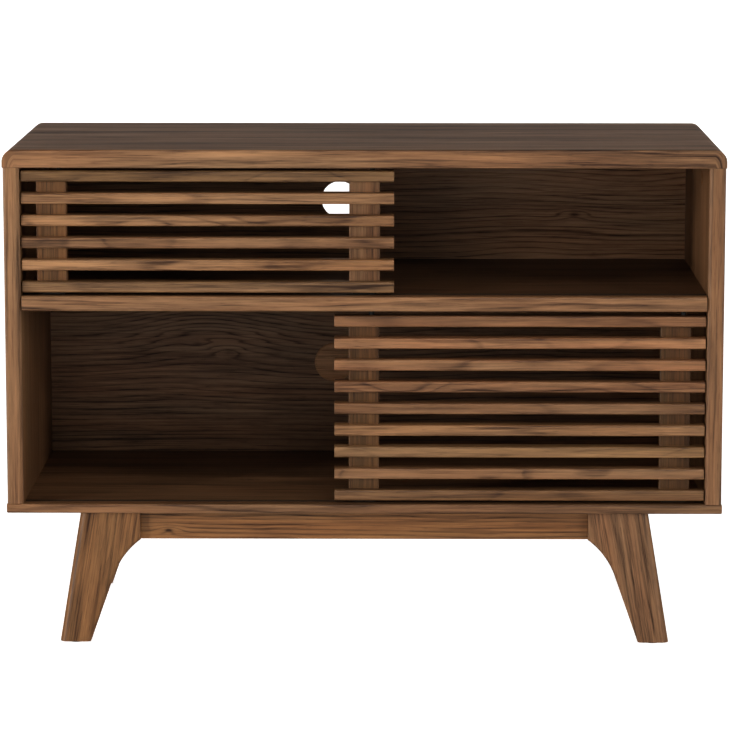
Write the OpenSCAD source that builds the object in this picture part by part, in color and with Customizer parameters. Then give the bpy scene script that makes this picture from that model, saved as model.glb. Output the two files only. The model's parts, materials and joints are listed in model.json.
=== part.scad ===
// Media cabinet in walnut: an open-fronted case on a splayed-leg base, with
// one slatted sliding door in each of its two compartments.
// Millimetres. +X runs along the width, the front faces -Y and +Z is up.
// The origin is on the floor, under the middle of the case.

/* [Case] */
// Width of the top and bottom panels
case_w = 914; // [880:2:960]
// Depth of the case from front to back
case_d = 394; // [370:2:430]
// Thickness of the top panel
top_t = 23; // [21:0.5:28]
// Thickness of each side panel
side_t = 20.5; // [19:0.5:25]
// How far the top and bottom panels stand out past each side panel
side_inset = 1; // [0.5:0.5:3]
// Thickness of the middle shelf
shelf_t = 19.5; // [19:0.5:24]
// Thickness of the bottom panel
bottom_t = 12; // [11.5:0.5:18]
// Thickness of the two back panels
back_t = 5; // [4:0.5:6]
// Clear height of the upper compartment
upper_open_h = 163; // [155:1:185]
// Clear height of the lower compartment
lower_open_h = 248.5; // [240:0.5:280]
// Radius along the top's two short ends
top_end_r = 15; // [6:1:18]

/* [Cable holes] */
// Radius of the hole in each back panel
cable_hole_r = 25; // [20:1:30]
// Sideways place of the upper hole
upper_hole_x = -37; // [-120:1:120]
// Sideways place of the lower hole
lower_hole_x = -45; // [-120:1:120]

/* [Doors] */
// Width of each sliding door
door_w = 472; // [450:2:500]
// Height of one slat
slat_h = 14.3; // [12:0.1:17]
// Thickness of one slat, front to back
slat_t = 22; // [21:0.5:23]
// How deep the stiles are let into the backs of the slats
let_in = 11; // [10:0.5:11.5]
// Width of the upright stiles at the backs of the slats
stile_w = 39; // [32:1:46]
// Thickness of the stiles
stile_t = 16; // [15:0.5:18]
// Distance from a slat's end to the nearer stile
stile_inset = 18; // [12:1:26]
// Gap between a door's lowest slat and the panel below it
door_gap_below = 3.7; // [3:0.1:5]
// Gap above the upper door's highest slat
upper_gap_above = 3.7; // [3:0.1:6]
// Gap above the lower door's highest slat
lower_gap_above = 6; // [3:0.1:7]
// How far the slats sit behind the front edges of the case
door_setback = 5; // [3:0.5:8]
// Side clearance between a closed door and its side panel
door_side_gap = 1.5; // [1:0.5:3]

/* [Base] */
// Height of the base, from the floor to the bottom panel
leg_h = 171.5; // [165:0.5:190]
// Thickness of the legs from front to back
leg_t = 30; // [28:1:36]
// How far the legs sit behind the front edge
leg_setback = 8; // [4:1:14]
// Half width between the inner ends of the left and right leg brackets
leg_inner_x = 287; // [280:1:292]
// Half width to a leg's outer edge, at the top
leg_top_x = 363.5; // [360:0.5:370]
// Half width to a leg's outer edge, at the foot
leg_foot_x = 392; // [385:1:398]
// Width of a foot
foot_w = 39.4; // [38:0.1:42]
// Height of the front and rear aprons
apron_h = 36.5; // [35:0.5:38]
// Radius of the curve that runs from the apron down into a leg
leg_curve_r = 100; // [96:1:106]

/* [Hidden] */
$fn = 48;

upper_slat_count = 6;
lower_slat_count = 9;

// Colours
walnut = "#7a5436";
walnut_top = "#5f4b3a";
walnut_dark = "#4a3324";
walnut_gold = "#96734b";
walnut_leg = "#78583e";
track_brown = "#1e1712";
nylon = "#33302d";
zinc = "#a8a8a4";
beech = "#c9a779";

// Heights of the panel faces
bottom_top_z = leg_h + bottom_t;
shelf_z = bottom_top_z + lower_open_h;
shelf_top_z = shelf_z + shelf_t;
top_z = shelf_top_z + upper_open_h;
case_top_z = top_z + top_t;

// Faces of the case in plan
front_y = -case_d / 2;
back_y = case_d / 2;
side_outer_x = case_w / 2 - side_inset;
side_inner_x = side_outer_x - side_t;

// Edge shapes
eased_r = 1;
soft_r = 2;
top_front_r = 3.5;
panel_front_r = 3;
slat_front_r = 2.5;
shelf_front_r = 4;
side_outer_r = 3;
side_chamfer = 3.5;
stile_r = 1.5;

// Fit between parts that are fixed together, per side
fit = 0.1;
// Extra depth of a blind hole past the end of what it holds
hole_gap = 0.3;
// How far a cutting shape stands out of the face it cuts
over = 1;

// Back panels, held in grooves near the rear edges
back_inset = 9;
back_groove_y = back_y - back_inset;
back_groove_w = back_t + 2 * fit;
back_groove_depth = 5.5;
back_lap = 5;
cover_plug_r = cable_hole_r - hole_gap;
cover_flange_r = cable_hole_r + 1.8;
cover_flange_t = 1.5;

// The shelf has a solid strip along its front
edge_strip_d = 12;
edge_strip_gap = 1;

// Door planes, from the front backwards
slat_y = front_y + door_setback;
stile_y = slat_y + slat_t - let_in;
stile_short = 1;
track_y = stile_y + stile_t / 2;

// Tracks: a plastic channel let into a groove
track_w = 10;
track_h = 5.6;
track_wall = 1.1;
track_clear_w = track_w - 2 * track_wall;
track_clear_h = track_h - track_wall;
glide_w = track_clear_w - 1.2;
glide_len = 30;
glide_stem_r = 3;
guide_pin_r = track_clear_w / 2 - 0.7;
stem_len = 12;
stem_offset = 10;
run_clearance = 0.4;

// Hardware
dowel_r = 4;
dowel_end = 10;
dowel_long_end = 19.5;
cam_r = 7.5;
cam_h = 13;
cam_distance = 24;
cam_axis_depth = 9.5;
cam_cap_r = 9;
cam_cap_t = 0.8;
bolt_thread_r = 3.5;
bolt_thread_len = 10.8;
bolt_shank_r = 2.8;
bolt_neck_r = 1.9;
bolt_head_r = 2.9;
bolt_bore_r = 4;
screw_r = 2.3;
screw_head_r = 4.6;
screw_head_h = 3;
slat_screw_r = 1.75;
slat_screw_head_r = 3.6;
slat_screw_head_t = 2;
slat_screw_bite = 8;
panel_screw_bite = 30;
base_dowel_r = 3;
base_dowel_half = 15;

case_dowel_ys = [-150, 0, 150];
cam_ys = [-75, 75];
shelf_dowel_ys = [-145, 145];

// Base frame
leg_front_y = front_y + leg_setback;
apron_t = 20;
apron_setback = 8;
apron_y = leg_front_y + apron_setback;
apron_z = leg_h - apron_h;
rail_w = 20;
rail_h = 32;
rail_x = 315;
block_leg = 45;
block_h = 20;
block_screw_in = 15;
block_screw_bite = 8;
glide_r = 11;
glide_t = 3;
glide_recess = 1.5;
foot_centre_x = leg_foot_x - foot_w / 2 - 1;
foot_z = glide_t - glide_recess;

// The inner edge of a leg: straight up from the foot, then a curve that
// ends at the apron's lower corner. The curve's circle touches the straight
// edge and passes through that corner.
foot_inner_x = leg_foot_x - foot_w;
inner_slope = 0.352;
inner_lean = atan(inner_slope);
corner = [leg_inner_x, apron_z];
edge_normal = [cos(inner_lean), sin(inner_lean)];
edge_dir = [-sin(inner_lean), cos(inner_lean)];
foot_inner = [foot_inner_x, 0];
corner_off = corner - foot_inner;
corner_across = corner_off * edge_normal;
corner_along = corner_off * edge_dir;
touch_back = sqrt(pow(leg_curve_r, 2) - pow(leg_curve_r + corner_across, 2));
touch_along = corner_along - touch_back;
touch = foot_inner + touch_along * edge_dir;
curve_centre = touch - leg_curve_r * edge_normal;
curve_end_angle = atan2(corner[1] - curve_centre[1], corner[0] - curve_centre[0]);
curve_steps = 14;

// ---- Helpers ----

// Rectangle from the origin with a radius at each corner, in the order
// low left, low right, high right, high left
module soft_rect(w, h, r) {
    corners = [[0, 0], [w, 0], [w, h], [0, h]];
    edges = [[1, 0], [0, 1], [-1, 0], [0, -1]];
    outline = [for (i = [0:3]) each (r[i] > 0
        ? [corners[i] - r[i] * edges[(i + 3) % 4], corners[i] + r[i] * edges[i]]
        : [corners[i]])];
    polygon(outline);
    for (i = [0:3])
        if (r[i] > 0)
            translate(corners[i] + r[i] * (edges[i] - edges[(i + 3) % 4]))
                circle(r = r[i]);
}

// Extrudes a Y-Z outline along X
module along_x(x0, x1) {
    translate([x0, 0, 0])
        rotate([90, 0, 90])
            linear_extrude(x1 - x0)
                children();
}

// Extrudes an X-Z outline along Y
module along_y(y0, y1) {
    translate([0, y1, 0])
        rotate([90, 0, 0])
            linear_extrude(y1 - y0)
                children();
}

// Copies its children to both sides of the case
module both_sides() {
    children();
    mirror([1, 0, 0])
        children();
}

// Copies its children to the front and the rear
module both_ends() {
    children();
    mirror([0, 1, 0])
        children();
}

// A box from its lowest to its highest corner
module block(low, high) {
    translate(low)
        cube(high - low);
}

// A cylinder of radius r from a point, along +X, +Y or +Z
module rod_x(p, r, len) {
    translate(p)
        rotate([0, 90, 0])
            cylinder(r = r, h = len);
}

module rod_y(p, r, len) {
    translate(p)
        rotate([-90, 0, 0])
            cylinder(r = r, h = len);
}

module rod_z(p, r, len) {
    translate(p)
        cylinder(r = r, h = len);
}

// A track's groove in a panel whose face is at z, cut up or down from it
module track_groove(z, up) {
    low = up ? z - over : z - track_h - fit;
    block([-side_inner_x, track_y - track_w / 2 - fit, low],
          [side_inner_x, track_y + track_w / 2 + fit, low + track_h + fit + over]);
}

// A back panel's groove in a panel whose face is at z, cut up or down
module back_groove(z, up) {
    low = up ? z - over : z - back_groove_depth;
    block([-side_inner_x - back_groove_depth, back_groove_y, low],
          [side_inner_x + back_groove_depth, back_groove_y + back_groove_w,
           low + back_groove_depth + over]);
}

// ---- Hardware ----

// Holes for one cam fitting. The joint plane is z = 0, the bolt screws into
// -Z and the cam lies at +Z with its open end facing -X.
module cam_thread_hole() {
    rod_z([0, 0, -bolt_thread_len - hole_gap], bolt_thread_r + fit, bolt_thread_len + over);
}

module cam_body_holes() {
    rod_z([0, 0, -over], bolt_bore_r, cam_distance + 4);
    rod_x([-cam_axis_depth - over, 0, cam_distance], cam_r + fit, cam_h + over + 2 * fit);
}

module cam_bolt() {
    neck_z = cam_distance - cam_r - 1;
    head_z = cam_distance - 2;
    union() {
        rod_z([0, 0, -bolt_thread_len], bolt_thread_r, bolt_thread_len);
        rod_z([0, 0, 0], bolt_shank_r, neck_z);
        rod_z([0, 0, 0], bolt_neck_r, head_z);
        rod_z([0, 0, head_z], bolt_head_r, 3.5);
    }
}

module cam_lock() {
    slot_l = 9;
    slot_w = 1.6;
    slot_deep = 2;
    difference() {
        rod_x([-cam_axis_depth, 0, cam_distance], cam_r, cam_h);
        rod_z([0, 0, 0], bolt_bore_r - 0.2, cam_distance + 3.4);
        block([-cam_axis_depth - over, -slot_l / 2, cam_distance - slot_w / 2],
              [-cam_axis_depth + slot_deep, slot_l / 2, cam_distance + slot_w / 2]);
        block([-cam_axis_depth - over, -slot_w / 2, cam_distance - slot_l / 2],
              [-cam_axis_depth + slot_deep, slot_w / 2, cam_distance + slot_l / 2]);
    }
}

// Places a cam fitting at every joint of the top and of the shelf
module at_top_joints() {
    both_sides()
        for (y = cam_ys)
            translate([side_inner_x + cam_axis_depth, y, top_z])
                rotate([180, 0, 0])
                    children();
}

module at_shelf_joints() {
    both_sides()
        for (y = cam_ys)
            translate([side_inner_x, y, shelf_z + cam_axis_depth])
                rotate([0, -90, 0])
                    children();
}

// A screw that points up from its head, which lies flush at z = 0
module countersunk_screw(len) {
    slot_l = 5;
    slot_w = 1.2;
    slot_deep = 1.6;
    difference() {
        union() {
            cylinder(r1 = screw_head_r, r2 = screw_r, h = screw_head_h);
            cylinder(r = screw_r, h = len);
        }
        block([-slot_l / 2, -slot_w / 2, -over], [slot_l / 2, slot_w / 2, slot_deep]);
        block([-slot_w / 2, -slot_l / 2, -over], [slot_w / 2, slot_l / 2, slot_deep]);
    }
}

module countersunk_hole(len) {
    translate([0, 0, -over])
        cylinder(r = screw_head_r + fit, h = over + fit);
    translate([0, 0, fit])
        cylinder(r1 = screw_head_r + fit, r2 = screw_r + fit, h = screw_head_h);
    cylinder(r = screw_r + fit, h = len);
}

// A pan-head screw that points to -Y, with its head behind y = 0
module slat_screw() {
    slot_l = 4;
    slot_w = 1;
    slot_y = slat_screw_head_t - 1;
    open_y = slat_screw_head_t + over;
    difference() {
        union() {
            rod_y([0, 0, 0], slat_screw_head_r, slat_screw_head_t);
            rod_y([0, -stile_t - slat_screw_bite, 0], slat_screw_r,
                  stile_t + slat_screw_bite + slot_y);
        }
        block([-slot_l / 2, slot_y, -slot_w / 2], [slot_l / 2, open_y, slot_w / 2]);
        block([-slot_w / 2, slot_y, -slot_l / 2], [slot_w / 2, open_y, slot_l / 2]);
    }
}

// ---- Case ----

module top_panel() {
    color(walnut_top)
        difference() {
            intersection() {
                along_y(front_y, back_y)
                    translate([-case_w / 2, top_z])
                        soft_rect(case_w, top_t, [eased_r, eased_r, top_end_r, top_end_r]);
                along_x(-case_w / 2, case_w / 2)
                    translate([front_y, top_z])
                        soft_rect(case_d, top_t, [eased_r, 0, soft_r, top_front_r]);
            }
            track_groove(top_z, true);
            back_groove(top_z, true);
            at_top_joints()
                cam_thread_hole();
            both_sides()
                for (y = case_dowel_ys)
                    rod_z([side_outer_x - side_t / 2, y, top_z - over],
                          dowel_r + fit, dowel_end + over + hole_gap);
        }
}

// Outline of a right-hand side panel in plan, from its inner front corner
module side_outline() {
    polygon([
        [side_chamfer, 0],
        [side_t - side_outer_r, 0],
        [side_t, side_outer_r],
        [side_t, case_d],
        [0, case_d],
        [0, side_chamfer]
    ]);
    translate([side_t - side_outer_r, side_outer_r])
        circle(r = side_outer_r);
}

module right_side_panel() {
    height = top_z - bottom_top_z;
    color(walnut)
        difference() {
            translate([side_inner_x, front_y, bottom_top_z])
                linear_extrude(height)
                    side_outline();
            block([side_inner_x - over, back_groove_y, bottom_top_z - over],
                  [side_inner_x + back_groove_depth, back_groove_y + back_groove_w,
                   top_z + over]);
            at_top_joints()
                cam_body_holes();
            at_shelf_joints()
                cam_thread_hole();
            for (y = case_dowel_ys) {
                rod_z([side_outer_x - side_t / 2, y, top_z - dowel_long_end - hole_gap],
                      dowel_r + fit, dowel_long_end + over);
                rod_z([side_outer_x - side_t / 2, y, bottom_top_z - over],
                      screw_r + fit, panel_screw_bite + 2 * over);
            }
            for (y = shelf_dowel_ys)
                rod_x([side_inner_x - over, y, shelf_z + shelf_t / 2],
                      dowel_r + fit, dowel_end + over + hole_gap);
        }
}

module left_side_panel() {
    mirror([1, 0, 0])
        right_side_panel();
}

module bottom_panel() {
    color(walnut)
        difference() {
            intersection() {
                along_x(-case_w / 2, case_w / 2)
                    translate([front_y, leg_h])
                        soft_rect(case_d, bottom_t, [soft_r, eased_r, 0, panel_front_r]);
                along_y(front_y, back_y)
                    translate([-case_w / 2, leg_h])
                        soft_rect(case_w, bottom_t, [soft_r, soft_r, eased_r, eased_r]);
            }
            track_groove(bottom_top_z, false);
            back_groove(bottom_top_z, false);
            both_sides()
                for (y = case_dowel_ys)
                    translate([side_outer_x - side_t / 2, y, leg_h])
                        countersunk_hole(bottom_t + over);
            at_corner_blocks()
                rod_z([0, 0, block_h - over], screw_r + fit, block_screw_bite + 2 * over);
        }
}

module middle_shelf() {
    color(walnut)
        difference() {
            block([-side_inner_x, front_y + edge_strip_d, shelf_z],
                  [side_inner_x, back_y, shelf_top_z]);
            track_groove(shelf_top_z, false);
            track_groove(shelf_z, true);
            back_groove(shelf_top_z, false);
            back_groove(shelf_z, true);
            at_shelf_joints()
                cam_body_holes();
            both_sides()
                for (y = shelf_dowel_ys)
                    rod_x([side_inner_x - dowel_long_end - hole_gap, y, shelf_z + shelf_t / 2],
                          dowel_r + fit, dowel_long_end + over);
        }
}

module shelf_front_edge() {
    half_w = side_inner_x - edge_strip_gap;
    color(walnut)
        intersection() {
            along_x(-half_w, half_w)
                translate([front_y, shelf_z])
                    soft_rect(edge_strip_d, shelf_t, [shelf_front_r, 0, 0, shelf_front_r]);
            along_y(front_y, front_y + edge_strip_d)
                translate([-half_w, shelf_z])
                    soft_rect(2 * half_w, shelf_t, [soft_r, soft_r, shelf_front_r, shelf_front_r]);
        }
}

module back_panel(low_z, high_z, hole_x) {
    color(walnut_dark)
        difference() {
            block([-side_inner_x - back_lap, back_groove_y + fit, low_z - back_lap],
                  [side_inner_x + back_lap, back_groove_y + fit + back_t, high_z + back_lap]);
            rod_y([hole_x, back_groove_y - over, (low_z + high_z) / 2],
                  cable_hole_r, back_t + 2 * over);
        }
}

module upper_back_panel() {
    back_panel(shelf_top_z, top_z, upper_hole_x);
}

module lower_back_panel() {
    back_panel(bottom_top_z, shelf_z, lower_hole_x);
}

module cable_hole_cover() {
    hole_z = (bottom_top_z + shelf_z) / 2;
    face_y = back_groove_y + fit;
    color(walnut_dark)
        union() {
            rod_y([lower_hole_x, face_y - cover_flange_t, hole_z],
                  cover_flange_r, cover_flange_t);
            rod_y([lower_hole_x, face_y - cover_flange_t, hole_z],
                  cover_plug_r, cover_flange_t + back_t);
        }
}

// ---- Base ----

// Outline of a right-hand leg seen from the front
module leg_outline() {
    curve = [for (i = [1:curve_steps])
        let (a = inner_lean + (curve_end_angle - inner_lean) * i / curve_steps)
        curve_centre + leg_curve_r * [cos(a), sin(a)]];
    outer_slope = (leg_foot_x - leg_top_x) / leg_h;
    polygon(concat(
        [[leg_inner_x, leg_h],
         [leg_top_x, leg_h],
         [leg_foot_x - outer_slope * foot_z, foot_z],
         foot_inner + foot_z / edge_dir[1] * edge_dir,
         touch],
        curve
    ));
}

module front_right_leg() {
    color(walnut_leg)
        difference() {
            along_y(leg_front_y, leg_front_y + leg_t)
                leg_outline();
            base_dowels_right(fit, hole_gap);
            rod_z([foot_centre_x, leg_front_y + leg_t / 2, foot_z - over],
                  glide_r + fit, glide_recess + over);
        }
}

module front_left_leg() {
    mirror([1, 0, 0])
        front_right_leg();
}

module rear_right_leg() {
    mirror([0, 1, 0])
        front_right_leg();
}

module rear_left_leg() {
    mirror([0, 1, 0])
        front_left_leg();
}

// The four dowels at one corner: two from the apron and two from the rail
module base_dowels_right(extra_r, extra_len) {
    apron_mid_y = apron_y + apron_t / 2;
    rail_mid_x = rail_x + rail_w / 2;
    len = 2 * (base_dowel_half + extra_len);
    for (z = [apron_z + 11, apron_z + 26])
        rod_x([leg_inner_x - len / 2, apron_mid_y, z], base_dowel_r + extra_r, len);
    for (z = [apron_z + 12, apron_z + 27])
        rod_y([rail_mid_x, leg_front_y + leg_t - len / 2, z], base_dowel_r + extra_r, len);
}

module front_apron() {
    color(walnut_leg)
        difference() {
            along_x(-leg_inner_x, leg_inner_x)
                translate([apron_y, apron_z])
                    soft_rect(apron_t, apron_h, [soft_r, soft_r, 0, 0]);
            both_sides()
                base_dowels_right(fit, hole_gap);
        }
}

module rear_apron() {
    mirror([0, 1, 0])
        front_apron();
}

module right_side_rail() {
    rail_end_y = leg_front_y + leg_t;
    color(walnut_leg)
        difference() {
            along_y(rail_end_y, -rail_end_y)
                translate([rail_x, leg_h - rail_h])
                    soft_rect(rail_w, rail_h, [soft_r, soft_r, 0, 0]);
            both_ends()
                base_dowels_right(fit, hole_gap);
        }
}

module left_side_rail() {
    mirror([1, 0, 0])
        right_side_rail();
}

// Places its children under each corner block's screw
module at_corner_blocks() {
    both_sides()
        both_ends()
            translate([rail_x - block_screw_in, leg_front_y + leg_t + block_screw_in,
                       leg_h - block_h])
                children();
}

module corner_blocks() {
    color(beech)
        difference() {
            both_sides()
                both_ends()
                    translate([rail_x, leg_front_y + leg_t, leg_h - block_h])
                        linear_extrude(block_h)
                            polygon([[0, 0], [0, block_leg], [-block_leg, 0]]);
            at_corner_blocks()
                countersunk_hole(block_h + over);
        }
}

module corner_block_screws() {
    color(zinc)
        at_corner_blocks()
            countersunk_screw(block_h + block_screw_bite);
}

module foot_glides() {
    color(nylon)
        both_sides()
            both_ends()
                rod_z([foot_centre_x, leg_front_y + leg_t / 2, 0], glide_r, glide_t);
}

module base_dowels() {
    color(beech)
        both_sides()
            both_ends()
                base_dowels_right(0, 0);
}

// ---- Case hardware ----

module case_dowels() {
    color(beech)
        both_sides() {
            for (y = case_dowel_ys)
                rod_z([side_outer_x - side_t / 2, y, top_z - dowel_long_end],
                      dowel_r, dowel_long_end + dowel_end);
            for (y = shelf_dowel_ys)
                rod_x([side_inner_x - dowel_long_end, y, shelf_z + shelf_t / 2],
                      dowel_r, dowel_long_end + dowel_end);
        }
}

module cam_bolts() {
    color(zinc) {
        at_top_joints()
            cam_bolt();
        at_shelf_joints()
            cam_bolt();
    }
}

module cam_locks() {
    color(zinc) {
        at_top_joints()
            cam_lock();
        at_shelf_joints()
            cam_lock();
    }
}

// Thin stuck-on caps that hide the cams
module cam_cap() {
    rod_x([-cam_axis_depth - cam_cap_t, 0, cam_distance], cam_cap_r, cam_cap_t);
}

module cam_caps() {
    color(walnut) {
        at_top_joints()
            cam_cap();
        at_shelf_joints()
            cam_cap();
    }
}

module base_panel_screws() {
    color(zinc)
        both_sides()
            for (y = case_dowel_ys)
                translate([side_outer_x - side_t / 2, y, leg_h])
                    countersunk_screw(bottom_t + panel_screw_bite);
}

// A track's channel, open upwards from a face at z = 0
module channel() {
    half_w = side_inner_x - 0.2;
    difference() {
        block([-half_w, track_y - track_w / 2, -track_h],
              [half_w, track_y + track_w / 2, 0]);
        block([-half_w - over, track_y - track_clear_w / 2, -track_clear_h],
              [half_w + over, track_y + track_clear_w / 2, over]);
    }
}

module floor_track(z) {
    color(track_brown)
        translate([0, 0, z])
            channel();
}

module ceiling_track(z) {
    color(track_brown)
        translate([0, 0, z])
            mirror([0, 0, 1])
                channel();
}

module upper_bottom_track() {
    floor_track(shelf_top_z);
}

module upper_top_track() {
    ceiling_track(top_z);
}

module lower_bottom_track() {
    floor_track(bottom_top_z);
}

module lower_top_track() {
    ceiling_track(shelf_z);
}

// ---- Doors ----

// Left ends of the closed doors: the upper one at the left of the case, the
// lower one at the right
upper_door_x = -side_inner_x + door_side_gap;
lower_door_x = side_inner_x - door_side_gap - door_w;

// Each door is described by its left end, its floor, its ceiling, its number
// of slats and the gap above its highest slat
upper_door = [upper_door_x, shelf_top_z, top_z, upper_slat_count, upper_gap_above];
lower_door = [lower_door_x, bottom_top_z, shelf_z, lower_slat_count, lower_gap_above];

// Height of slat i's lower edge, counted from the bottom
function slat_z(door, i) =
    let (low = door[1] + door_gap_below,
         high = door[2] - door[4] - slat_h)
    low + (high - low) * (i - 1) / (door[3] - 1);

// Heights of the lower and upper ends of a door's stiles, which stop short of
// the outer edges of the end slats
function stile_low_z(door) = slat_z(door, 1) + stile_short;
function stile_high_z(door) = slat_z(door, door[3]) + slat_h - stile_short;

// Left edges of a door's two stiles
function stile_xs(door) =
    [door[0] + stile_inset, door[0] + door_w - stile_inset - stile_w];

module slat(door, i) {
    z = slat_z(door, i);
    color(walnut_gold)
        difference() {
            intersection() {
                along_x(door[0], door[0] + door_w)
                    translate([slat_y, z])
                        soft_rect(slat_t, slat_h, [slat_front_r, eased_r, eased_r, slat_front_r]);
                along_y(slat_y, slat_y + slat_t)
                    translate([door[0], z])
                        soft_rect(door_w, slat_h, [soft_r, soft_r, soft_r, soft_r]);
            }
            for (x = stile_xs(door)) {
                block([x - fit, stile_y, z - over],
                      [x + stile_w + fit, slat_y + slat_t + over, z + slat_h + over]);
                rod_y([x + stile_w / 2, stile_y - slat_screw_bite - hole_gap, z + slat_h / 2],
                      slat_screw_r + fit, slat_screw_bite + 2 * over);
            }
        }
}

module stile(door, which) {
    x = stile_xs(door)[which];
    low_z = stile_low_z(door);
    high_z = stile_high_z(door);
    mid_x = x + stile_w / 2;
    color(walnut_gold)
        difference() {
            translate([x, stile_y, low_z])
                linear_extrude(high_z - low_z)
                    soft_rect(stile_w, stile_t, [stile_r, stile_r, stile_r, stile_r]);
            for (i = [1:door[3]])
                rod_y([mid_x, stile_y - over, slat_z(door, i) + slat_h / 2],
                      slat_screw_r + fit, stile_t + 2 * over);
            for (side = [-1, 1])
                rod_z([mid_x + side * stem_offset, track_y, low_z - over],
                      glide_stem_r + fit, stem_len + over + hole_gap);
            rod_z([mid_x + stem_offset, track_y, high_z - stem_len - hole_gap],
                  glide_stem_r + fit, stem_len + over + hole_gap);
        }
}

module door_glides(door) {
    foot = door[1] - track_clear_h + run_clearance;
    stile_end = stile_low_z(door);
    color(nylon)
        for (x = stile_xs(door))
            union() {
                block([x + (stile_w - glide_len) / 2, track_y - glide_w / 2, foot],
                      [x + (stile_w + glide_len) / 2, track_y + glide_w / 2, stile_end]);
                for (side = [-1, 1])
                    rod_z([x + stile_w / 2 + side * stem_offset, track_y, foot],
                          glide_stem_r, stile_end - foot + stem_len);
            }
}

module door_guide_pins(door) {
    tip = door[2] + track_clear_h - 2 * run_clearance;
    stile_end = stile_high_z(door);
    color(nylon)
        for (x = stile_xs(door))
            translate([x + stile_w / 2 + stem_offset, track_y, 0])
                union() {
                    rod_z([0, 0, stile_end], guide_pin_r, tip - stile_end);
                    rod_z([0, 0, stile_end - stem_len], glide_stem_r, stem_len + over);
                }
}

module door_screws(door) {
    color(zinc)
        for (x = stile_xs(door))
            for (i = [1:door[3]])
                translate([x + stile_w / 2, stile_y + stile_t, slat_z(door, i) + slat_h / 2])
                    slat_screw();
}

// ---- Nodes ----

top_panel();
left_side_panel();
right_side_panel();
bottom_panel();
middle_shelf();
shelf_front_edge();
upper_back_panel();
lower_back_panel();
cable_hole_cover();
front_left_leg();
front_right_leg();
rear_left_leg();
rear_right_leg();
front_apron();
rear_apron();
left_side_rail();
right_side_rail();
corner_blocks();
foot_glides();
upper_bottom_track();
upper_top_track();
lower_bottom_track();
lower_top_track();
case_dowels();
base_dowels();
cam_bolts();
cam_locks();
cam_caps();
base_panel_screws();
corner_block_screws();
for (i = [1:upper_slat_count])
    slat(upper_door, i);
stile(upper_door, 0);  // upper_left_stile
stile(upper_door, 1);  // upper_right_stile
door_glides(upper_door);  // upper_door_glides
door_guide_pins(upper_door);  // upper_door_guide_pins
door_screws(upper_door);  // upper_door_screws
for (i = [1:lower_slat_count])
    slat(lower_door, i);
stile(lower_door, 0);  // lower_left_stile
stile(lower_door, 1);  // lower_right_stile
door_glides(lower_door);  // lower_door_glides
door_guide_pins(lower_door);  // lower_door_guide_pins
door_screws(lower_door);  // lower_door_screws
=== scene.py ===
import json
import math
import random

import bmesh
import bpy
from mathutils import Matrix, Vector


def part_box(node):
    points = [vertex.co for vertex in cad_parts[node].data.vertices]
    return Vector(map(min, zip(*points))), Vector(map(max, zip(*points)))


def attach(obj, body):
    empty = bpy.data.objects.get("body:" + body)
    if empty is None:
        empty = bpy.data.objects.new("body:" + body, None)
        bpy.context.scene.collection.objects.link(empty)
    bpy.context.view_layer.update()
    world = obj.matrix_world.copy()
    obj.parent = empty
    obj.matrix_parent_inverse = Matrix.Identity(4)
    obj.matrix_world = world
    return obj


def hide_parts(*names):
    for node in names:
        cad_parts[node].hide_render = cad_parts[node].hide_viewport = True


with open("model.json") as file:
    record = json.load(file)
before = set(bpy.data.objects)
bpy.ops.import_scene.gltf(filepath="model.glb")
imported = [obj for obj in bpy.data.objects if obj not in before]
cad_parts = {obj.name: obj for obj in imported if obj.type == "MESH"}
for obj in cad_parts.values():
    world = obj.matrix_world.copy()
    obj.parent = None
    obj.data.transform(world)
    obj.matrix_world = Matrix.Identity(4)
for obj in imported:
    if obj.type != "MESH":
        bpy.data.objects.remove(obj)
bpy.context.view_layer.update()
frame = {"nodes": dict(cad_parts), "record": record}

# Walnut media cabinet with slatted sliding doors. Metres, +Z up, the front faces -Y.
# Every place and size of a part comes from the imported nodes; the values below are the
# looks and the studio. Radii, spacings and knots are in millimetres.

MM = 0.001
NODES = frame["nodes"]
RECORD = frame["record"]
BODY_OF = {n: b for b, names in RECORD["behaviour"]["bodies"].items() for n in names}
CHANCE = random.Random(41)
WHITE = (1.0, 1.0, 1.0, 1.0)


def nodes_named(ending):
    """The names of the nodes with this ending, in order."""
    return sorted(n for n in NODES if n.endswith(ending))


def new_object(name, bm):
    """Turns a bmesh into an object of the scene."""
    mesh = bpy.data.meshes.new(name)
    bm.to_mesh(mesh)
    bm.free()
    made = bpy.data.objects.new(name, mesh)
    bpy.context.scene.collection.objects.link(made)
    return made


# ---- Camera and studio ----

# Degrees down and to the left, and the lens and sensor in millimetres
CAMERA_PLACE = (0.0455, -4.700, 1.067)
CAMERA_PITCH = 8.874
CAMERA_TURN = 0.564
CAMERA_LENS = 177.0
SENSOR = 36.0

# Each lamp's place, size and power in watts. All are aimed at the cabinet's middle.
LAMP_AIM = (0, 0, 0.35)
LAMPS = {
    "left_softbox": ((-4.3, -2.8, 1.0), (0.7, 2.0), 155),
    "right_softbox": ((4.4, -3.4, 1.5), (1.0, 2.0), 92),
    "high_softbox": ((0.3, -3.4, 4.1), (3.0, 1.0), 52),
    "front_softbox": ((0.3, -6.8, 2.2), (4.0, 1.6), 26),
    "top_softbox": ((0.0, -0.6, 4.2), (4.0, 3.0), 6),
    "rear_softbox": ((0.0, 5.0, 1.2), (3.4, 0.8), 4.6),
}
WORLD_STRENGTH = 0.05

# The floor's own grey, its glow, what the glow gains far away, and from where to where
FLOOR_GREY = 0.86
FLOOR_GLOW = 0.68
FAR_GLOW = 0.6
GLOW_NEAR = 6.0
GLOW_FAR = 11.0


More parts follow.
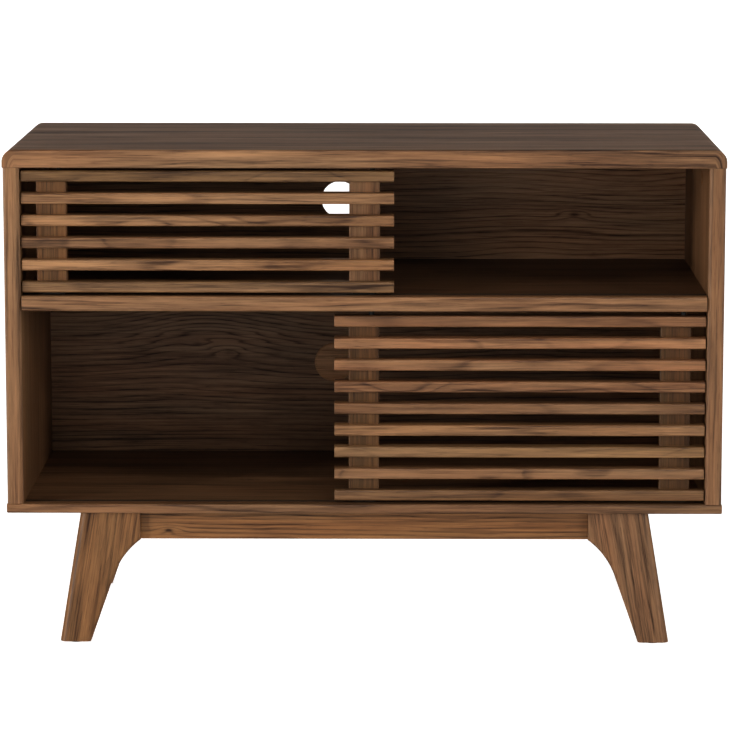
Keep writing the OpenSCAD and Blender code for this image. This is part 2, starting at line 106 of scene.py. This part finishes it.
def make_camera():
    data = bpy.data.cameras.new("camera")
    data.lens = CAMERA_LENS
    data.sensor_width = SENSOR
    camera = bpy.data.objects.new("camera", data)
    camera.location = CAMERA_PLACE
    camera.rotation_euler = (math.radians(90 - CAMERA_PITCH), 0, math.radians(CAMERA_TURN))
    bpy.context.scene.collection.objects.link(camera)
    bpy.context.scene.camera = camera


def area_light(name, place, size, power):
    """A soft rectangular lamp at a place, aimed at the cabinet."""
    data = bpy.data.lights.new(name, "AREA")
    data.shape = "RECTANGLE"
    data.size, data.size_y = size
    data.energy = power
    lamp = bpy.data.objects.new(name, data)
    lamp.location = place
    aim = Vector(LAMP_AIM) - Vector(place)
    lamp.rotation_euler = aim.to_track_quat("-Z", "Y").to_euler()
    bpy.context.scene.collection.objects.link(lamp)
    return lamp


def flag(lamp, *names):
    """Keeps a lamp's light off some objects, as a flag in front of it would."""
    shaded = bpy.data.collections.new(lamp.name + "_flag")
    for name in names:
        shaded.objects.link(bpy.data.objects[name])
    lamp.light_linking.receiver_collection = shaded
    for item in shaded.collection_objects:
        item.light_linking.link_state = "EXCLUDE"


def make_lights():
    """Lights the cabinet. Each side lamp is kept off one back, so the inside stays dark."""
    world = bpy.data.worlds.new("studio")
    world.use_nodes = True
    background = world.node_tree.nodes["Background"]
    background.inputs["Color"].default_value = WHITE
    background.inputs["Strength"].default_value = WORLD_STRENGTH
    bpy.context.scene.world = world
    lamps = {name: area_light(name, *spec) for name, spec in LAMPS.items()}
    flag(lamps["left_softbox"], NODES["lower_back_panel"].name, "cable_hole_cover_shape")
    flag(lamps["right_softbox"], NODES["upper_back_panel"].name)


def make_floor():
    """A pale floor that curves up into a backdrop far behind."""
    half_w, front, back, rise, bend = 14.0, -8.0, 12.0, 9.0, 3.0
    steps = 16
    path = [(front, 0.0), (back - bend, 0.0)]
    for i in range(1, steps + 1):
        angle = math.pi / 2 * i / steps
        path.append((back - bend + bend * math.sin(angle), bend - bend * math.cos(angle)))
    path.append((back, rise))
    bm = bmesh.new()
    rows = [[bm.verts.new((x, y, z)) for x in (-half_w, half_w)] for y, z in path]
    for a, b in zip(rows, rows[1:]):
        bm.faces.new((a[0], a[1], b[1], b[0])).smooth = True
    floor = new_object("floor", bm)
    floor.data.materials.append(floor_material())
    floor.visible_glossy = False


def make_surround():
    """A white drum far around the floor, open at the top. It is only seen, and lights
    nothing."""
    radius, height, sides = 60.0, 60.0, 64
    below_floor = -0.02
    around = [math.tau * i / sides for i in range(sides)]
    bm = bmesh.new()
    rims = [[bm.verts.new((radius * math.cos(a), radius * math.sin(a), z)) for a in around]
            for z in (below_floor, height)]
    bm.faces.new(rims[0])
    add_walls(bm, rims)
    surround = new_object("surround", bm)
    surround.data.materials.append(floor_material())
    surround.visible_diffuse = False
    surround.visible_glossy = False
    surround.visible_shadow = False


# ---- Shader helpers ----


class Shader:
    """Adds nodes to one node tree and links them."""

    def __init__(self, tree):
        self.tree = tree

    def node(self, kind, inputs=(), **settings):
        made = self.tree.nodes.new(kind)
        for key, value in settings.items():
            setattr(made, key, value)
        for key, value in dict(inputs).items():
            self.put(made.inputs[key], value)
        return made

    def put(self, socket, value):
        if isinstance(value, bpy.types.NodeSocket):
            self.tree.links.new(value, socket)
        else:
            socket.default_value = value

    def math(self, operation, a, b=0.0, c=0.0, clamp=False):
        made = self.node("ShaderNodeMath", {0: a, 1: b, 2: c}, operation=operation)
        made.use_clamp = clamp
        return made.outputs[0]

    def vector(self, operation, a, b=(0.0, 0.0, 0.0)):
        made = self.node("ShaderNodeVectorMath", {0: a, 1: b}, operation=operation)
        return made.outputs["Value" if operation == "LENGTH" else "Vector"]

    def noise(self, place, stretch, detail=2.0, rough=0.5):
        """Noise with its own scale per metre along each axis, from about -1 to 1."""
        made = self.node(
            "ShaderNodeTexNoise",
            {"Vector": self.vector("MULTIPLY", place, stretch), "Scale": 1.0,
             "Detail": detail, "Roughness": rough},
        )
        return self.math("MULTIPLY_ADD", made.outputs["Fac"], 3.2, -1.6)

    def mix(self, factor, a, b, blend="MIX"):
        made = self.node("ShaderNodeMix", data_type="RGBA", blend_type=blend)
        self.put(made.inputs[0], factor)
        self.put(made.inputs[6], a)
        self.put(made.inputs[7], b)
        return made.outputs[2]

    def ramp(self, value, stops):
        """A grey ramp through (place, level) stops."""
        made = self.node("ShaderNodeValToRGB", {"Fac": value})
        elements = made.color_ramp.elements
        while len(elements) < len(stops):
            elements.new(0.5)
        for element, (place, level) in zip(elements, stops):
            element.position = place
            element.color = (level, level, level, 1.0)
        return made.outputs["Color"]


def new_material(name):
    """A new material, its node helper and its surface shader."""
    made = bpy.data.materials.new(name)
    made.use_nodes = True
    return made, Shader(made.node_tree), made.node_tree.nodes["Principled BSDF"]


# ---- Wood ----

# One year's ring: light, then darkening to a thin dark line of late wood at its end
RING = ((0.0, 0.75), (0.35, 0.85), (0.68, 0.62), (0.84, 0.0), (0.90, 0.1), (1.0, 0.75))
RING_MIDDLE = 0.65


def grain_group():
    """Wood figure in three dimensions, with the grain along the X of Place.

    Rings lie round a pith that wanders; veins, streaks, fibres and pores follow the
    grain."""
    group = bpy.data.node_groups.new("wood_grain", "ShaderNodeTree")
    face = group.interface
    for name, kind in (("Place", "Vector"), ("Bend", "Float"), ("Knot", "Float"),
                       ("Spacing", "Float"), ("Wander", "Float"), ("Ripple", "Float"),
                       ("Figure", "Float"), ("Streaks", "Float"), ("Bands", "Float"),
                       ("Dark", "Color"), ("Light", "Color"), ("Tint", "Color")):
        face.new_socket(name=name, in_out="INPUT", socket_type="NodeSocket" + kind)
    for name, kind in (("Color", "Color"), ("Roughness", "Float"), ("Height", "Float")):
        face.new_socket(name=name, in_out="OUTPUT", socket_type="NodeSocket" + kind)
    s = Shader(group)
    given = s.node("NodeGroupInput").outputs
    place = given["Place"]

    # The distance from a pith that drifts slowly along the board
    stretch = s.node("ShaderNodeCombineXYZ", {"X": given["Ripple"], "Y": 6.0, "Z": 6.0})
    slow = s.node("ShaderNodeTexNoise",
                  {"Vector": s.vector("MULTIPLY", place, stretch.outputs[0]), "Scale": 1.0,
                   "Detail": 2.0, "Roughness": 0.45})
    drift = s.vector("SUBTRACT", slow.outputs["Color"], (0.5, 0.5, 0.5))
    scale = s.node("ShaderNodeCombineXYZ", {"Y": given["Wander"], "Z": given["Wander"]})
    drift = s.vector("MULTIPLY", drift, scale.outputs[0])
    around = s.vector("ADD", s.vector("MULTIPLY", place, (0.0, 1.0, 1.0)), drift)
    radius = s.vector("LENGTH", around)

    # Rings of uneven width, a little wavy, and faint in places
    wavy = s.noise(place, (9.0, 45.0, 45.0), 2.0)
    uneven = s.noise(s.node("ShaderNodeCombineXYZ", {"X": radius}).outputs[0],
                     (90.0, 0.0, 0.0), 2.0)
    rings = s.math("DIVIDE", radius, given["Spacing"])
    rings = s.math("ADD", rings, given["Bend"])
    rings = s.math("MULTIPLY_ADD", wavy, 0.22, rings)
    rings = s.math("MULTIPLY_ADD", uneven, 0.55, rings)
    late = s.ramp(s.math("FRACT", rings), RING)
    late = s.math("SUBTRACT", late, RING_MIDDLE)
    strength = s.noise(place, (4.0, 35.0, 35.0), 2.0)
    late = s.math("MULTIPLY", late, s.math("MULTIPLY_ADD", strength, 0.6, 0.8, clamp=True))

    # Marks along the grain, from broad bands down to pores
    streak = s.noise(place, (7.0, 170.0, 170.0), 3.0, 0.6)
    band = s.noise(place, (1.1, 24.0, 24.0), 2.0)
    fibre = s.noise(place, (18.0, 480.0, 480.0), 3.0, 0.65)
    crossing = s.math("ABSOLUTE", s.noise(place, (5.0, 210.0, 210.0), 1.5, 0.5))
    veins = s.math("MULTIPLY_ADD", crossing, -4.5, 1.0, clamp=True)
    fading = s.noise(place, (5.0, 60.0, 60.0), 1.0)
    veins = s.math("MULTIPLY", veins, s.math("MULTIPLY_ADD", fading, 0.6, 0.55, clamp=True))
    pores = s.noise(place, (60.0, 1300.0, 1300.0), 0.0)
    pores = s.math("GREATER_THAN", pores, 0.62)

    # How much each mark lightens or darkens the ground
    level = 0.52
    for mark, weight in ((s.math("MULTIPLY", late, given["Figure"]), 0.95),
                         (s.math("MULTIPLY", streak, given["Streaks"]), 0.24),
                         (s.math("MULTIPLY", veins, given["Streaks"]), -0.30),
                         (s.math("MULTIPLY", band, given["Bands"]), 0.15),
                         (fibre, 0.24),
                         (pores, -0.14)):
        level = s.math("MULTIPLY_ADD", mark, weight, level)
    level = s.math("MULTIPLY_ADD", given["Knot"], -0.75, level, clamp=True)

    # Colour, gloss and relief
    color = s.mix(level, given["Dark"], given["Light"])
    warm = s.noise(place, (3.0, 34.0, 34.0), 2.0)
    warm = s.math("MULTIPLY_ADD", warm, 0.6, 0.5, clamp=True)
    color = s.mix(warm, color, s.mix(1.0, color, given["Tint"], "MULTIPLY"))
    rough = s.math("MULTIPLY_ADD", level, -0.12, 0.52)
    rough = s.math("MULTIPLY_ADD", fibre, 0.04, rough)
    height = s.math("MULTIPLY_ADD", fibre, 0.35, level)
    height = s.math("MULTIPLY_ADD", pores, -0.5, height)
    s.node("NodeGroupOutput", {"Color": color, "Roughness": rough, "Height": height})
    return group


GRAIN = grain_group()

# Linear colours of the woods: the dark lines, the light ground, and a tint in places
WALNUT = {"dark": (0.040, 0.0175, 0.0072), "light": (0.335, 0.190, 0.094),
          "tint": (1.05, 0.87, 0.76)}
BEECH = {"dark": (0.30, 0.17, 0.08), "light": (0.66, 0.47, 0.28), "tint": (1.0, 0.93, 0.85)}
SLAT_TINTS = ((1.14, 0.98, 0.80), (1.10, 0.84, 0.72), (1.02, 0.98, 0.78), (1.06, 0.90, 0.80))

# The rings' spacing, how far their pith wanders and how quickly, and how strong the
# rings, the fine streaks and the broad bands are
DEFAULT_LOOK = {"spacing": 6.0, "wander": 40.0, "ripple": 1.7, "figure": 0.45,
                "streaks": 1.2, "bands": 2.0}

# The satin lacquer on every board, and how strong and deep its open grain is
LACQUER = {"Specular IOR Level": 0.34, "Coat Weight": 0.08, "Coat Roughness": 0.32}
RELIEF = {"Strength": 0.25, "Distance": 0.3 * MM}

# How much longer a knot is along the grain than across it, and how much sharper its
# dark heart is than the bend of the rings round it
KNOT_LENGTH = 2.4
HEART_SHARPNESS = 9.0

# Over what length, from where a board's end starts to round, its figure turns down
WRAP_RUN = 12

# How light each board is beside the walnut above, and the hue that some lean towards. Mostly
# the boards' own tone; the boards noted below also carry painted shade and painted light.
# The slats are numbered from the bottom of their door.
BOARD_LIGHTNESS_AND_PAINTED_SHADING = {
    # The middle shelf and the bottom panel are darkened as painted shade, for the shade
    # inside the compartments.
    "middle_shelf": 0.48, "bottom_panel": 0.77,
    "left_side_panel": 0.90, "right_side_panel": 0.90,
    # The back panels are lightened as painted light, for the side lamps' light that is
    # flagged off them.
    "upper_back_panel": 1.70, "lower_back_panel": 1.25, "cable_hole_cover": 2.40,
    "front_apron": 0.70, "rear_apron": 0.80, "front_left_leg": 0.90, "front_right_leg": 1.00,
    # The stiles are darker partly as their own wood and partly as painted shade cast by the
    # slats in front of them.
    "upper_left_stile": 0.74, "upper_right_stile": 0.84,
    "lower_left_stile": 0.46, "lower_right_stile": 0.42,
}
SLAT_LIGHTNESS = {"upper": (0.95, 1.24, 0.90, 1.14, 1.14, 0.72),
                  "lower": (0.66, 0.83, 1.03, 1.03, 0.87, 0.99, 1.02, 1.22, 0.75)}
GOLDEN = (1.06, 0.98, 0.78)
GREYISH = (0.94, 1.00, 1.14)
HUES = {"upper_back_panel": GREYISH, "lower_back_panel": GREYISH, "front_apron": GOLDEN,
        "front_left_leg": GOLDEN, "upper_left_stile": GOLDEN, "lower_left_stile": GOLDEN,
        "lower_right_stile": GOLDEN}


def tone_and_painted_shading(node):
    """The factor on red, green and blue for one board: its own tone, with the painted shade
    and painted light noted in the table.
    """
    if "_slat_" in node:
        door, number = node.split("_slat_")
        lightness = SLAT_LIGHTNESS[door][int(number) - 1]
    else:
        lightness = BOARD_LIGHTNESS_AND_PAINTED_SHADING.get(node, 1.0)
    return [lightness * c for c in HUES.get(node, (1.0, 1.0, 1.0))]


def rgba(color, factor=(1.0, 1.0, 1.0)):
    return (*(c * f for c, f in zip(color, factor)), 1.0)


def wrapped(s, place, edge, top):
    """Carries the figure of a board's top on down over its rounded ends.

    edge is where the rounding starts, either side of X 0, and top is the board's top."""
    x, y, z = s.node("ShaderNodeSeparateXYZ", {"Vector": place}).outputs
    past = s.math("SUBTRACT", s.math("ABSOLUTE", x), edge)
    past = s.math("MULTIPLY", past, 1 / (WRAP_RUN * MM), clamp=True)
    drop = s.math("MULTIPLY", s.math("SUBTRACT", top, z), past)
    return s.node("ShaderNodeCombineXYZ",
                  {0: s.math("ADD", x, drop), 1: y, 2: s.math("ADD", z, drop)}).outputs[0]


def knotted(s, place, knots, upright):
    """The bend of the rings and the darkness that the knots bring to each place."""
    bend, dark = 0.0, 0.0
    for x, y, z, size, lift, deep in knots:
        away = s.vector("SUBTRACT", place, (x * MM, y * MM, z * MM))
        across = 1 / (size * MM)
        along = across / KNOT_LENGTH
        squeeze = (across, across, along) if upright else (along, across, across)
        reach = s.vector("LENGTH", s.vector("MULTIPLY", away, squeeze))
        square = s.math("POWER", reach, 2.0)
        fall = s.math("EXPONENT", s.math("MULTIPLY", square, -1.0))
        heart = s.math("EXPONENT", s.math("MULTIPLY", square, -HEART_SHARPNESS))
        bend = s.math("MULTIPLY_ADD", fall, lift, bend)
        dark = s.math("MULTIPLY_ADD", heart, deep, dark)
    return bend, dark


def wood(node, turn=0.0, pith=(-70.0, 10.0), knots=(), palette=WALNUT, wrap=0.0, **look):
    """A wood for one board. turn is the grain's angle from X towards Z, in degrees.

    pith is where the rings' middle lies from the board's middle: along Y and across.
    knots are (x, y, z, size, lift, dark): place and size in the cabinet's frame, how
    many rings the grain is lifted, and how dark the heart is. wrap is the radius of the
    board's rounded ends, if it has them."""
    look = {**DEFAULT_LOOK, **look}
    made, s, shader = new_material(node)
    low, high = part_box(node)
    centre = Matrix.Rotation(math.radians(turn), 3, "Y") @ ((low + high) / 2)
    place = s.node("ShaderNodeTexCoord").outputs["Object"]
    if wrap:
        place = wrapped(s, place, high.x - wrap * MM, high.z)
    shift = (-centre.x + CHANCE.uniform(-40, 40), -centre.y - pith[0] * MM,
             -centre.z - pith[1] * MM)
    mapped = s.node("ShaderNodeMapping",
                    {"Vector": place, "Location": shift,
                     "Rotation": (0.0, math.radians(turn), 0.0)}).outputs[0]
    bend, dark = knotted(s, place, knots, upright=turn != 0)
    grain = s.node("ShaderNodeGroup", {}, node_tree=GRAIN)
    for key, value in (("Place", mapped), ("Bend", bend), ("Knot", dark),
                       ("Spacing", look["spacing"] * MM), ("Wander", look["wander"] * MM),
                       ("Ripple", look["ripple"]), ("Figure", look["figure"]),
                       ("Streaks", look["streaks"]), ("Bands", look["bands"]),
                       ("Dark", rgba(palette["dark"], tone_and_painted_shading(node))),
                       ("Light", rgba(palette["light"], tone_and_painted_shading(node))),
                       ("Tint", rgba(palette["tint"]))):
        s.put(grain.inputs[key], value)
    s.put(shader.inputs["Base Color"], grain.outputs["Color"])
    s.put(shader.inputs["Roughness"], grain.outputs["Roughness"])
    bump = s.node("ShaderNodeBump", {"Height": grain.outputs["Height"], **RELIEF})
    s.put(shader.inputs["Normal"], bump.outputs[0])
    for key, value in LACQUER.items():
        shader.inputs[key].default_value = value
    return made


# ---- Other materials ----

# The scale of the fine and the broad variation per metre, and the fine relief
SPECK_SCALE = 900.0
CLOUD_SCALE = 35.0
SPECK_RELIEF = {"Strength": 0.1, "Distance": 0.2 * MM}


def speckled(name, color, rough, spread, metal=0.0):
    """A plain plastic or metal whose shade and gloss vary a little over its surface."""
    made, s, shader = new_material(name)
    place = s.node("ShaderNodeTexCoord").outputs["Object"]
    fine = s.noise(place, (SPECK_SCALE,) * 3, 3.0, 0.6)
    broad = s.noise(place, (CLOUD_SCALE,) * 3, 2.0)
    shade = s.math("MULTIPLY_ADD", fine, 0.25, 0.5)
    shade = s.math("MULTIPLY_ADD", broad, 0.2, shade, clamp=True)
    s.put(shader.inputs["Base Color"],
          s.mix(shade, rgba(color, (1 - spread,) * 3), rgba(color, (1 + spread,) * 3)))
    s.put(shader.inputs["Roughness"], s.math("MULTIPLY_ADD", fine, 0.06, rough))
    shader.inputs["Metallic"].default_value = metal
    bump = s.node("ShaderNodeBump", {"Height": fine, **SPECK_RELIEF})
    s.put(shader.inputs["Normal"], bump.outputs[0])
    return made


def floor_material():
    """Matt near-white that glows a little, and more with the distance from the cabinet."""
    made, s, shader = new_material("floor")
    place = s.node("ShaderNodeTexCoord").outputs["Object"]
    shade = s.math("MULTIPLY_ADD", s.noise(place, (3.0, 3.0, 3.0)), 0.01, FLOOR_GREY)
    grey = s.node("ShaderNodeCombineColor", {0: shade, 1: shade, 2: shade})
    s.put(shader.inputs["Base Color"], grey.outputs[0])
    shader.inputs["Roughness"].default_value = 0.9
    shader.inputs["Emission Color"].default_value = WHITE
    run = GLOW_FAR - GLOW_NEAR
    away = s.vector("LENGTH", place)
    far = s.math("MULTIPLY_ADD", away, 1 / run, -GLOW_NEAR / run, clamp=True)
    s.put(shader.inputs["Emission Strength"],
          s.math("MULTIPLY_ADD", far, FAR_GLOW, FLOOR_GLOW))
    return made


# ---- Shape helpers ----

# Edges with a larger angle stay sharp, and places this close count as the same
SHARP = math.radians(40)
TOUCH = 0.05 * MM


def near(a, b):
    return abs(a - b) < TOUCH


def add_walls(bm, rims):
    """Joins two rims of equally many points with a wall all round."""
    count = len(rims[0])
    for i in range(count):
        j = (i + 1) % count
        bm.faces.new((rims[0][i], rims[0][j], rims[1][j], rims[1][i]))


def prism(low_ring, high_ring):
    """A solid between two like outlines."""
    bm = bmesh.new()
    rims = [[bm.verts.new(point) for point in ring] for ring in (low_ring, high_ring)]
    for rim in rims:
        bm.faces.new(rim)
    add_walls(bm, rims)
    bmesh.ops.recalc_face_normals(bm, faces=bm.faces)
    return bm


def box_mesh(low, high):
    bm = bmesh.new()
    bmesh.ops.create_cube(bm, size=1.0)
    size = high - low
    middle = (low + high) / 2
    for v in bm.verts:
        v.co = Vector(a * b for a, b in zip(v.co, size)) + middle
    return bm


def round_edges(bm, chosen, radius, steps=4):
    """Rounds the edges for which chosen(middle, direction) is true."""
    edges = []
    for e in bm.edges:
        a, b = (v.co for v in e.verts)
        if chosen((a + b) / 2, (b - a).normalized()):
            edges.append(e)
    bmesh.ops.bevel(bm, geom=edges, offset=radius * MM, segments=steps, profile=0.5,
                    affect="EDGES", clamp_overlap=True)


def round_bar(bm, low, high, front_r, back_r, end_r):
    """Rounds a bar along X: its front edges, its rear edges and its ends."""
    round_edges(bm, lambda p, d: abs(d.x) > 0.9 and near(p.y, low.y), front_r)
    round_edges(bm, lambda p, d: abs(d.x) > 0.9 and near(p.y, high.y)
                and (near(p.z, low.z) or near(p.z, high.z)), back_r, 3)
    round_edges(bm, lambda p, d: near(p.x, low.x) or near(p.x, high.x), end_r, 3)


def piece(node, bm):
    """Turns a bmesh into the shown piece that stands for a CAD node."""
    bmesh.ops.recalc_face_normals(bm, faces=bm.faces)
    for face in bm.faces:
        face.smooth = True
    for edge in bm.edges:
        edge.smooth = edge.calc_face_angle(0.0) < SHARP
    made = new_object(node + "_shape", bm)
    weighted = made.modifiers.new("normals", "WEIGHTED_NORMAL")
    weighted.keep_sharp = True
    weighted.weight = 100
    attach(made, BODY_OF[node])
    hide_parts(node)
    return made


def bar(node, front_r, back_r, end_r):
    """A bar along X with its own radii on the front edges, rear edges and ends."""
    low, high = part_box(node)
    bm = box_mesh(low, high)
    round_bar(bm, low, high, front_r, back_r, end_r)
    return piece(node, bm)


def slat(node, stiles, front_r, back_r, end_r):
    """A slat: a bar along X with a notch in its back for each stile."""
    low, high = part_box(node)
    outline = [(low.x, high.y), (low.x, low.y), (high.x, low.y), (high.x, high.y)]
    for stile in sorted(stiles, key=lambda n: -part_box(n)[0].x):
        start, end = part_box(stile)
        outline += [(end.x, high.y), (end.x, start.y), (start.x, start.y), (start.x, high.y)]
    bm = prism(*([(x, y, z) for x, y in outline] for z in (low.z, high.z)))
    round_bar(bm, low, high, front_r, back_r, end_r)
    return piece(node, bm)


def post(node, radius):
    """An upright with all its edges rounded."""
    low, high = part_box(node)
    bm = box_mesh(low, high)
    round_edges(bm, lambda p, d: True, radius, 3)
    return piece(node, bm)


# The cable hole cover: how thick its flange is, how far the plug lies inside the
# flange's edge, and the rim as (in from the edge, back from the front)
COVER_T = 1.5
PLUG_INSET = 2.1
COVER_RIM = ((3.4, 0.5), (2.7, 0.15), (2.0, 0.0), (1.1, 0.0), (0.4, 0.3), (0.0, 0.9))
COVER_SIDES = 96


def cover(node):
    """The disc in the rear hole: a flange with a soft raised rim, and a plug behind it."""
    low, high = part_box(node)
    middle = (low + high) / 2
    outer = (high.x - low.x) / 2
    seat = low.y + COVER_T * MM
    rim = [(outer - inset * MM, low.y + back * MM) for inset, back in COVER_RIM]
    plug_r = outer - PLUG_INSET * MM
    profile = [(0, rim[0][1]), *rim, (outer, seat), (plug_r, seat), (plug_r, high.y),
               (0, high.y)]
    bm = bmesh.new()
    line = [bm.verts.new((middle.x + r, y, middle.z)) for r, y in profile]
    edges = [bm.edges.new(pair) for pair in zip(line, line[1:])]
    bmesh.ops.spin(bm, geom=line + edges, cent=middle, axis=(0, 1, 0), angle=math.tau,
                   steps=COVER_SIDES, use_duplicate=False)
    bmesh.ops.remove_doubles(bm, verts=bm.verts, dist=0.001 * MM)
    return piece(node, bm)


def outer_outline(node):
    """The ordered outline of a leg's face on the outside of the cabinet."""
    outer_y = max((corner.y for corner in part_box(node)), key=abs)
    bm = bmesh.new()
    bm.from_mesh(NODES[node].data)
    bmesh.ops.remove_doubles(bm, verts=bm.verts, dist=0.02 * MM)
    bmesh.ops.dissolve_limit(bm, angle_limit=math.radians(1), verts=bm.verts, edges=bm.edges)
    flat = [f for f in bm.faces
            if abs(f.normal.y) > 0.99 and near(f.calc_center_median().y, outer_y)]
    widest = max(flat, key=lambda f: f.calc_area())
    points = [(v.co.x, v.co.z) for v in widest.verts]
    bm.free()
    return points


# The middle of a leg's outer slanted edge is closer than this to its outermost X, and
# those of its inner slanted and curved edges are further than the second
OUTER_WITHIN = 20
INNER_BEYOND = 31


def leg(node, outer_r, inner_r):
    """A leg: the CAD outline as a plank, its outer edges rounded more than its inner."""
    low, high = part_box(node)
    points = outer_outline(node)
    bm = prism(*([(x, y, z) for x, z in points] for y in (low.y, high.y)))
    inner_x, outer_x = sorted((low.x, high.x), key=abs)
    inside = (low.z + 0.1 * MM, high.z - 0.1 * MM)
    round_edges(bm, lambda p, d: abs(d.y) < 0.1 and abs(d.z) > 0.9
                and abs(p.x - outer_x) < OUTER_WITHIN * MM, outer_r, 6)
    round_edges(bm, lambda p, d: abs(d.y) < 0.1 and inside[0] < p.z < inside[1]
                and not near(p.x, inner_x) and abs(p.x - outer_x) > INNER_BEYOND * MM,
                inner_r, 4)
    return piece(node, bm)


def paint(target, material):
    """Gives a shown piece or a CAD node one material."""
    mesh = target.data
    if mesh.materials:
        target.material_slots[0].link = "OBJECT"
        target.material_slots[0].material = material
    else:
        mesh.materials.append(material)


def paint_cad(node, **look):
    """Gives a CAD node its own wood."""
    paint(NODES[node], wood(node, **look))


# ---- Case and base ----

# How far the legs' grain leans from upright, in degrees
LEG_LEAN = 9.4


def make_case():
    paint_cad("top_panel", pith=(30, -110), wrap=15, figure=0.4, streaks=1.3, bands=3.0)
    paint_cad("bottom_panel", pith=(-40, -90), knots=((-153, -27, 183, 6, 1.0, 1.0),))
    paint_cad("middle_shelf", pith=(40, -120))
    paint_cad("cam_caps", turn=90)
    paint(bar("shelf_front_edge", front_r=4.0, back_r=0.5, end_r=2.0),
          wood("shelf_front_edge", pith=(-50, -25), wander=25))
    for node in ("left_side_panel", "right_side_panel"):
        paint_cad(node, turn=90, pith=(25, 100), figure=0.32, wander=18, streaks=0.95,
                  bands=1.4)
    back = {"spacing": 7, "wander": 36, "ripple": 2.6, "figure": 0.6, "streaks": 1.0,
            "bands": 1.0}
    paint_cad("upper_back_panel", pith=(60, -340), **back,
              knots=((284, 190, 513, 9, -1.2, 1.0), (340, 190, 560, 40, 1.5, 0.0)))
    paint_cad("lower_back_panel", pith=(55, 420), **back,
              knots=((-217, 190, 358, 42, 4.0, 0.0), (-233, 190, 333, 9, -1.0, 0.7),
                     (-190, 190, 322, 8, 1.0, 0.5)))
    paint(cover("cable_hole_cover"),
          wood("cable_hole_cover", figure=0.15, streaks=0.5, bands=0.6))


def make_base():
    for node in ("front_apron", "rear_apron"):
        paint(bar(node, front_r=2.0, back_r=2.0, end_r=0.3),
              wood(node, pith=(60, 260), wander=30, ripple=2.2, figure=0.6,
                   knots=((-251, -181, 147, 6, 1.2, 0.7),)))
    for node in ("left_side_rail", "right_side_rail"):
        paint_cad(node, figure=0.4)
    for node in nodes_named("_leg"):
        lean = -LEG_LEAN if "right" in node else LEG_LEAN
        paint(leg(node, outer_r=9.0, inner_r=4.5),
              wood(node, turn=90 - lean, pith=(50, 30), spacing=5.0, figure=0.28,
                   wander=14, streaks=1.0, bands=1.2))


# ---- Doors ----


def make_slats():
    for node in sorted(n for n in NODES if "_slat_" in n):
        door = node.split("_slat_")[0]
        palette = {**WALNUT, "tint": CHANCE.choice(SLAT_TINTS)}
        material = wood(
            node, pith=(CHANCE.uniform(16, 40), CHANCE.uniform(-14, 14)),
            palette=palette, spacing=CHANCE.uniform(6, 9), wander=CHANCE.uniform(40, 60),
            ripple=CHANCE.uniform(3.0, 4.5), figure=CHANCE.uniform(0.30, 0.50))
        stiles = [n for n in nodes_named("_stile") if n.startswith(door)]
        paint(slat(node, stiles, front_r=3.2, back_r=0.8, end_r=1.6), material)


def make_stiles():
    for node in nodes_named("_stile"):
        material = wood(node, turn=90, pith=(60, 15), figure=0.3, wander=15)
        paint(post(node, radius=1.5), material)


# ---- Fittings ----


def make_hardware():
    for node in ("case_dowels", "base_dowels", "corner_blocks"):
        paint_cad(node, palette=BEECH, figure=0.2)
    metal = speckled("zinc", (0.60, 0.60, 0.58), rough=0.34, spread=0.12, metal=1.0)
    for node in ("cam_bolts", "cam_locks", *nodes_named("_screws")):
        paint(NODES[node], metal)
    black = speckled("nylon", (0.035, 0.030, 0.026), rough=0.62, spread=0.12)
    for node in nodes_named("_glides") + nodes_named("_guide_pins"):
        paint(NODES[node], black)
    brown = speckled("track_plastic", (0.030, 0.019, 0.012), rough=0.38, spread=0.2)
    for node in nodes_named("_track"):
        paint(NODES[node], brown)


make_camera()
make_floor()
make_surround()
make_case()
make_base()
make_slats()
make_stiles()
make_hardware()
make_lights()

bpy.context.scene.view_settings.view_transform = "Standard"
bpy.context.scene.view_settings.look = "Medium High Contrast"
bpy.context.view_layer.update()
